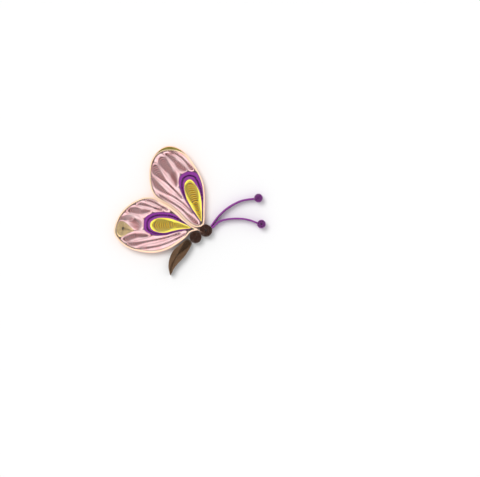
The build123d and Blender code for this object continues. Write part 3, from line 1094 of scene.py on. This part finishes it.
@dataclass
class Wing:
    """What both wings have: two rims of long strips, an eyespot, and loose coils pressed together."""

    body: Body
    root_direction: float = 125.0
    seat: float = 0.15
    rim_strips: int = 3
    inner_strips: int = 2
    rim_seat: float = 0.06
    rim_gap: float = 0.38
    rung_pitch: float = 0.85
    crest: float = 0.0
    loose: Winding = Winding(turns=9, end=0.93, tail=0.85, channel=0.48, fill=0.93, lean=0.35)

    # Each loose coil has two veins, from the round end to the tail. A band is where more strips lie inside
    # the rims: the place of the outline where it begins, the one where it ends and how many strips it has
    NAME: ClassVar[str]
    EYESPOT: ClassVar[Eyespot]
    LANES: ClassVar[list[tuple[Line, Line]]]
    BANDS: ClassVar[list[tuple[float, float, int]]]
    # How finely a rim is drawn and over what its direction is taken, both between two points of the outline
    RIM_STEPS = 10
    RIM_NEAR = 0.1
    # How much sooner each strip of a band ends, and the layers that a rung spans
    BAND_END = 0.15
    RUNG_LAYERS = (0, 2, 4)

    def __post_init__(self) -> None:
        """Mark out the wing."""
        self.root = self.body.beside_head(self.root_direction, self.seat)
        self.outline = self.trace()
        self.rims = self.rim_strips + self.inner_strips
        self.crowd = Crowd(self.along(self.rims + round(self.rim_gap / PRESSED)))

    def by_root(self, dx: float, dy: float) -> Point:
        """Return a point near the wing root."""
        return (self.root[0] + dx, self.root[1] + dy)

    def seam(self) -> Line:
        """Return the line that the two wings share, towards the root."""
        return [(-14.2, 14.9), (-10.9, 13.0), (-7.2, 10.1), (-4.4, 7.1), self.by_root(-4.3, -0.2)]

    def trace(self) -> Line:
        """Return the outline of the wing, counterclockwise from the root."""
        raise NotImplementedError

    def crest_rise(self, place: float) -> float:
        """Return how much of the crest's depth there is beside a place of the outline."""
        return 0.0

    def rim_point(self, place: float, depth: float) -> Point:
        """Return the point inside the outline at a depth from it."""
        before = outline_point(self.outline, place - self.RIM_NEAR)
        after = outline_point(self.outline, place + self.RIM_NEAR)
        return moved(outline_point(self.outline, place), side_normal(before, after), depth)

    def along(self, layer: int, first: float = 0.0, last: float | None = None) -> Line:
        """Follow the outline inside it, and from the inner rim on dip under the crest.

        Args:
            layer: How many strips lie outside.
            first: The place of the outline where the line begins.
            last: The place where it ends, or None for the whole way round.

        Returns:
            The line.
        """
        last = float(len(self.outline)) if last is None else last
        depth = self.rim_seat + PAPER / 2 + layer * PRESSED
        crest = self.crest if layer >= self.rim_strips else 0.0
        steps = round((last - first) * self.RIM_STEPS)
        places = [first + (last - first) * step / steps for step in range(steps)]
        return [self.rim_point(place, depth + crest * self.crest_rise(place)) for place in places]

    def build_rims(self) -> None:
        """Build the two rims and the bands inside them."""
        outer = Strip(f"{self.NAME}_rim", Tone.PEACH)
        for layer in range(self.rim_strips):
            outer.run(upright(self.along(layer)), closed=True)
        for first, last, strips in self.BANDS:
            for layer in range(strips):
                sooner = self.BAND_END * layer
                band = self.along(self.rims + layer, first + sooner, last - sooner)
                outer.run(upright(band))
                self.crowd.add_line(f"{self.NAME}_rim", band)
        outer.finish()
        inner = Strip(f"{self.NAME}_inner_rim", Tone.CREAM)
        for layer in range(self.rim_strips, self.rims):
            inner.run(upright(self.along(layer)), closed=True)
        inner.finish()

    def build_eyespot(self) -> None:
        """Build the eyespot."""
        self.EYESPOT.build(self.NAME, self.crowd)

    def coils(self) -> list[Coil]:
        """Wind the coils that are pressed together."""
        return [
            Coil(f"{self.NAME}_coil_{number}", Tone.PINK, left, right, self.loose)
            for number, (left, right) in enumerate(self.LANES, start=1)
        ]

    def build_coils(self) -> None:
        """Build the coils, pressed against each other and the rims."""
        coils = self.coils()
        press_all(coils, self.crowd)
        self._rungs(coils[0])
        for coil in coils:
            coil.strip.finish()

    def _rungs(self, coil: Coil) -> None:
        """Fold a strip to and fro between the rim and the coils, where they leave a channel.

        Args:
            coil: The coil whose strip it is.
        """
        outer, middle, inner = (self.along(self.rims + layer) for layer in self.RUNG_LAYERS)
        run = 0.0
        for index in range(1, len(outer)):
            run += math.dist(outer[index], outer[index - 1])
            if run < self.rung_pitch:
                continue
            run = 0.0
            if self.crowd.clear_of(coil.node, middle[index]):
                rung = upright([outer[index], inner[index]])
                coil.strip.run(rung)
                coil.strip.run(pressed_against(rung))


@dataclass
class Forewing(Wing):
    """The upper wing, with a crest at its top where a small coil fills the gap between the rims."""

    crest: float = 1.2
    crest_start: float = 4.6
    crest_finish: float = 9.6
    crest_coil: Winding = Winding(turns=2, channel=0.12, fill=0.85, lean=0.2)

    NAME = "forewing"
    BANDS = [(3.7, 6.4, 4)]
    CREST_SHARES = [0.16, 0.3, 0.44, 0.56, 0.7, 0.84]
    EYESPOT = Eyespot(
        outside=[
            (2.3, 6.0), (-0.3, 9.5), (-3.2, 13.8), (-4.6, 16.2), (-5.8, 18.6), (-6.5, 20.8), (-6.8, 23.1),
            (-6.0, 25.7), (-2.9, 27.2), (0.4, 26.7), (1.65, 24.7), (2.4, 22.7), (2.95, 20.3), (3.2, 17.7),
            (3.2, 14.8), (3.15, 11.7), (3.1, 8.5), (3.0, 6.2),
        ],
        inside=[
            (2.3, 6.4), (0.0, 9.9), (-2.7, 14.1), (-3.8, 16.4), (-4.3, 18.7), (-4.7, 20.6), (-4.4, 22.4),
            (-3.6, 23.5), (-2.2, 24.0), (-1.0, 23.3), (-0.2, 22.2), (0.7, 20.9), (1.7, 19.0), (2.3, 16.7),
            (2.6, 14.2), (2.7, 11.5), (2.7, 8.6), (2.7, 6.4),
        ],
        left=[
            (-3.1, 23.7), (-4.3, 22.2), (-4.7, 20.5), (-4.2, 17.7), (-3.1, 14.8), (-1.7, 12.2), (-0.2, 10.0),
            (1.2, 8.1), (2.3, 6.4),
        ],
        right=[
            (-1.5, 23.8), (-0.6, 22.8), (0.5, 21.2), (1.6, 19.0), (2.3, 16.4), (2.5, 13.7), (2.6, 11.1),
            (2.7, 8.6), (2.7, 6.5),
        ],
    )
    LANES = [
        ([(0.7, 4.8), (-1.5, 5.9), (-4.0, 8.1), (-6.2, 10.4), (-8.9, 12.7), (-12.5, 15.1), (-15.6, 17.2),
          (-17.3, 19.3)],
         [(2.1, 5.4), (0.5, 7.6), (-2.0, 10.2), (-4.6, 12.5), (-7.8, 14.5), (-11.9, 16.5), (-15.1, 18.1),
          (-17.1, 19.5)]),
        ([(-18.4, 25.0), (-18.2, 22.7), (-17.0, 19.9), (-13.3, 17.1), (-9.3, 15.6), (-5.1, 12.9),
          (-1.0, 9.2)],
         [(-18.2, 25.9), (-16.5, 24.4), (-14.4, 22.7), (-11.0, 20.0), (-8.0, 17.7), (-4.1, 14.3),
          (-0.3, 9.9)]),
        ([(-17.8, 30.4), (-18.4, 28.3), (-18.1, 26.0), (-16.3, 24.4), (-12.7, 21.4), (-9.7, 18.9),
          (-6.5, 16.5), (-4.9, 15.0)],
         [(-16.3, 31.5), (-15.6, 30.1), (-14.0, 28.0), (-12.7, 26.4), (-10.3, 23.4), (-8.1, 20.7),
          (-5.7, 17.5), (-4.4, 15.4)]),
        ([(-16.1, 33.2), (-15.7, 30.4), (-14.0, 28.0), (-11.5, 24.9), (-9.4, 22.5), (-8.1, 20.9)],
         [(-14.2, 34.8), (-12.0, 33.2), (-10.3, 31.1), (-7.8, 27.8), (-7.0, 24.7), (-7.2, 21.8)]),
        ([(-3.8, 26.8), (-6.0, 27.1), (-7.8, 28.1), (-9.2, 29.8), (-10.5, 31.4), (-11.9, 33.3),
          (-13.2, 34.4)],
         [(-2.7, 27.9), (-3.6, 29.0), (-4.9, 30.6), (-6.2, 32.0), (-7.9, 33.3), (-9.7, 34.4),
          (-12.1, 35.1)]),
        ([(-1.6, 27.2), (-3.0, 28.4), (-4.7, 30.4), (-6.0, 31.9), (-7.7, 33.2), (-9.4, 34.3), (-11.5, 35.0)],
         [(0.0, 27.7), (-1.2, 29.6), (-2.9, 31.7), (-4.6, 33.5), (-6.7, 35.0), (-8.9, 35.7), (-11.3, 35.6)]),
    ]

    def trace(self) -> Line:
        """Return the outline of the wing, counterclockwise from the root."""
        return [
            self.by_root(0.8, 0.4), (3.9, 12.1), (3.9, 18.3), (2.9, 23.7), (0.2, 29.1), (-3.5, 34.3),
            (-6.8, 36.9), (-10.3, 37.9), (-13.6, 37.2), (-16.5, 34.8), (-18.5, 31.4), (-19.2, 27.4),
            (-19.1, 22.9), (-18.3, 19.4), (-16.6, 16.6), *self.seam(), self.by_root(-1.9, -0.9),
        ]

    def crest_rise(self, place: float) -> float:
        """Return how much of the crest's depth there is beside a place of the outline."""
        share = (place - self.crest_start) / (self.crest_finish - self.crest_start)
        return math.sin(math.pi * share) ** 2 if 0 < share < 1 else 0.0

    def build_crest(self) -> None:
        """Build the small coil in the gap of the crest."""
        length = self.crest_finish - self.crest_start
        places = [self.crest_start + length * share for share in self.CREST_SHARES]
        outside = self.rim_seat + self.rim_strips * PRESSED
        outer = [self.rim_point(place, outside) for place in places]
        inner = [self.rim_point(place, outside + self.crest * self.crest_rise(place)) for place in places]
        Coil("forewing_crest_coil", Tone.OLIVE, outer, inner, self.crest_coil).strip.finish()


@dataclass
class Hindwing(Wing):
    """The lower wing, with a curl between its eyespot and the khaki tip at its outer end."""

    curl: Winding = Winding(turns=12, end=0.62, tail=0.7, channel=0.3, fill=0.8, lean=0.3)
    tip: Winding = Winding(turns=12, side=0.27, end=0.25, tail=0.4, lean=0.1, bulge=0.85)

    NAME = "hindwing"
    BANDS = [(2.0, 5.6, 4), (15.4, 20.2, 3)]
    EYESPOT = Eyespot(
        outside=[
            (-1.4, 4.0), (-4.0, 5.8), (-7.1, 8.6), (-10.2, 10.0), (-12.8, 10.4), (-15.4, 10.4),
            (-17.7, 10.0), (-19.9, 8.9), (-21.1, 7.4), (-21.3, 5.3), (-21.1, 3.2), (-19.5, 1.8),
            (-17.0, 0.9), (-14.5, 0.8), (-12.0, 1.1), (-9.2, 1.9), (-6.3, 2.6), (-3.4, 3.1), (-1.4, 3.3),
        ],
        inside=[
            (-1.5, 3.9), (-4.1, 5.3), (-7.4, 6.8), (-10.3, 7.8), (-12.9, 8.1), (-15.3, 8.0), (-17.0, 7.5),
            (-18.2, 6.6), (-18.7, 5.8), (-18.8, 5.0), (-18.6, 3.9), (-17.6, 2.8), (-15.7, 2.1),
            (-13.9, 1.8), (-11.9, 1.9), (-9.3, 2.6), (-6.4, 3.2), (-3.6, 3.5), (-1.5, 3.6),
        ],
        left=[
            (-18.5, 6.2), (-17.6, 7.0), (-15.4, 7.9), (-12.9, 8.0), (-10.3, 7.7), (-7.2, 6.7),
            (-4.1, 5.2), (-1.5, 3.9),
        ],
        right=[
            (-18.5, 3.8), (-17.5, 2.8), (-15.2, 2.0), (-12.2, 1.9), (-9.3, 2.6), (-6.4, 3.2),
            (-3.6, 3.5), (-1.5, 3.6),
        ],
    )
    LANES = [
        ([(-22.8, 15.3), (-20.0, 16.0), (-17.2, 15.5), (-14.6, 14.1), (-12.3, 12.5), (-9.8, 10.8),
          (-7.7, 9.1)],
         [(-23.0, 14.9), (-20.5, 14.8), (-17.7, 13.7), (-15.4, 12.6), (-13.1, 11.5), (-10.3, 10.1),
          (-7.9, 8.7)]),
        ([(-24.8, 14.1), (-22.3, 14.8), (-19.8, 14.4), (-17.3, 13.4), (-14.8, 12.3), (-12.5, 11.3),
          (-10.7, 10.3)],
         [(-25.5, 13.3), (-22.9, 12.9), (-20.4, 12.1), (-18.1, 11.5), (-15.6, 10.9), (-12.9, 10.7),
          (-10.8, 10.1)]),
        ([(-28.5, 11.5), (-26.7, 12.6), (-24.5, 13.0), (-22.3, 12.5), (-19.9, 11.9), (-17.8, 11.1)],
         [(-29.1, 10.5), (-27.3, 10.0), (-24.9, 9.3), (-22.5, 8.8), (-20.4, 9.6), (-18.0, 10.5)]),
        ([(-31.3, -0.5), (-29.3, 0.5), (-26.8, 1.9), (-24.1, 2.5), (-21.3, 2.1), (-18.6, 0.9)],
         [(-30.5, -1.4), (-28.4, -2.1), (-25.7, -1.5), (-23.1, -0.9), (-20.4, -0.3), (-18.3, 0.4)]),
        ([(-29.4, -2.2), (-26.4, -1.7), (-23.4, -1.0), (-20.4, -0.4), (-16.4, 0.2), (-12.2, 0.8),
          (-8.2, 1.9), (-4.5, 2.7)],
         [(-28.5, -3.0), (-25.9, -4.1), (-22.8, -3.8), (-19.8, -3.0), (-15.7, -2.1), (-11.7, -0.9),
          (-7.9, 0.5), (-4.4, 2.2)]),
        ([(-3.5, 2.6), (-6.0, 1.3), (-9.1, 0.0), (-12.7, -1.3), (-16.2, -2.3), (-19.9, -3.1),
          (-23.2, -4.1), (-25.2, -4.5)],
         [(-2.9, 2.1), (-4.8, 0.2), (-7.9, -2.0), (-11.8, -3.9), (-15.8, -5.1), (-19.9, -5.5),
          (-23.6, -5.2), (-25.1, -4.8)]),
    ]
    CURL = (
        [(-25.6, 2.9), (-27.1, 4.6), (-28.5, 5.8), (-30.1, 6.7), (-31.0, 6.8), (-31.9, 6.7)],
        [(-22.1, 2.5), (-21.6, 6.0), (-23.7, 8.5), (-27.3, 9.8), (-30.6, 8.8), (-32.0, 7.3)],
    )
    TIP = (
        [(-33.0, 6.5), (-31.3, 6.9), (-29.2, 6.3), (-27.4, 4.6), (-25.9, 2.9)],
        [(-33.0, 0.4), (-31.3, 0.2), (-29.4, 0.7), (-27.6, 1.8), (-25.9, 2.6)],
    )

    def trace(self) -> Line:
        """Return the outline of the wing, counterclockwise from the root."""
        return [
            self.body.beside_thorax(72, 0.85), *reversed(self.seam()), (-15.9, 15.9), (-17.9, 16.6),
            (-20.2, 16.7), (-22.6, 16.2), (-27.2, 13.8), (-31.0, 10.1), (-33.3, 5.5), (-33.7, 1.6),
            (-31.4, -1.9), (-27.3, -4.7), (-22.1, -6.2), (-16.7, -6.5), (-11.3, -5.0), (-7.2, -2.6),
            (-4.1, -0.2), self.body.beside_thorax(132, 0.38),
        ]

    def coils(self) -> list[Coil]:
        """Wind the coils that are pressed together, with the curl and the tip among them."""
        curl = Coil("hindwing_curl_coil", Tone.PINK, *self.CURL, self.curl)
        return [*super().coils(), curl, Coil("hindwing_tip_coil", Tone.KHAKI, *self.TIP, self.tip)]


@dataclass
class Studio:
    """A white sheet to lie on, soft light from above and a camera that looks straight down."""

    photo_width_px: float = 480.0
    mm_per_px: float = 0.4137
    centre: Point = (18.45, -0.5)
    camera_height: float = 620.0
    sensor_width: float = 36.0
    view_reach: float = 10_000.0
    sheet_reach: float = 1500.0
    sheet_gap: float = 0.1
    sheet_colour: str = "#E6E6E6"
    sheet_roughness: float = 0.9
    sky: float = 0.78
    sun: float = 1.85
    sun_softness: float = 34.0

    def build(self) -> None:
        """Build the sheet, the lights and the camera."""
        self._sheet()
        self._light()
        self._camera()
        bpy.context.scene.view_settings.view_transform = "Standard"

    def _sheet(self) -> None:
        """Lay a plain white sheet under the object."""
        sheet = bmesh.new()
        bmesh.ops.create_grid(sheet, x_segments=1, y_segments=1, size=self.sheet_reach * MM)
        data = bpy.data.meshes.new("floor")
        sheet.to_mesh(data)
        sheet.free()
        floor = bpy.data.objects.new("floor", data)
        bpy.context.scene.collection.objects.link(floor)
        floor.location.z = -self.sheet_gap * MM
        material = bpy.data.materials.new("white_card")
        material.use_nodes = True
        shader = material.node_tree.nodes["Principled BSDF"]
        shader.inputs["Base Color"].default_value = linear(self.sheet_colour)
        shader.inputs["Roughness"].default_value = self.sheet_roughness
        data.materials.append(material)

    def _light(self) -> None:
        """Light the object softly from all round and a little more from the upper left."""
        world = bpy.data.worlds.new("studio")
        world.use_nodes = True
        background = world.node_tree.nodes["Background"]
        background.inputs["Color"].default_value = (1.0, 1.0, 1.0, 1.0)
        background.inputs["Strength"].default_value = self.sky
        bpy.context.scene.world = world
        lamp = bpy.data.lights.new("key", "SUN")
        lamp.energy = self.sun
        lamp.angle = math.radians(self.sun_softness)
        key = bpy.data.objects.new("key", lamp)
        key.rotation_euler = Vector(LIGHT_FROM).to_track_quat("Z", "Y").to_euler()
        bpy.context.scene.collection.objects.link(key)

    def _camera(self) -> None:
        """Look straight down, framed as the photograph is."""
        lens = bpy.data.cameras.new("camera")
        lens.sensor_width = self.sensor_width
        lens.lens = self.sensor_width * self.camera_height / (self.photo_width_px * self.mm_per_px)
        lens.clip_end = self.view_reach * MM
        camera = bpy.data.objects.new("camera", lens)
        height = self.camera_height + STRIP_HEIGHT
        camera.location = (self.centre[0] * MM, self.centre[1] * MM, height * MM)
        bpy.context.scene.collection.objects.link(camera)
        bpy.context.scene.camera = camera


def main() -> None:
    """Build the studio and the butterfly."""
    logging.basicConfig(level=logging.INFO, format="%(name)s: %(message)s")
    Studio().build()
    body = Body()
    body.build()
    Antennae(body).build()
    forewing, hindwing = Forewing(body), Hindwing(body)
    forewing.build_crest()
    for build in (Wing.build_rims, Wing.build_eyespot, Wing.build_coils):
        for wing in (forewing, hindwing):
            build(wing)


if __name__ == "__main__":
    main()
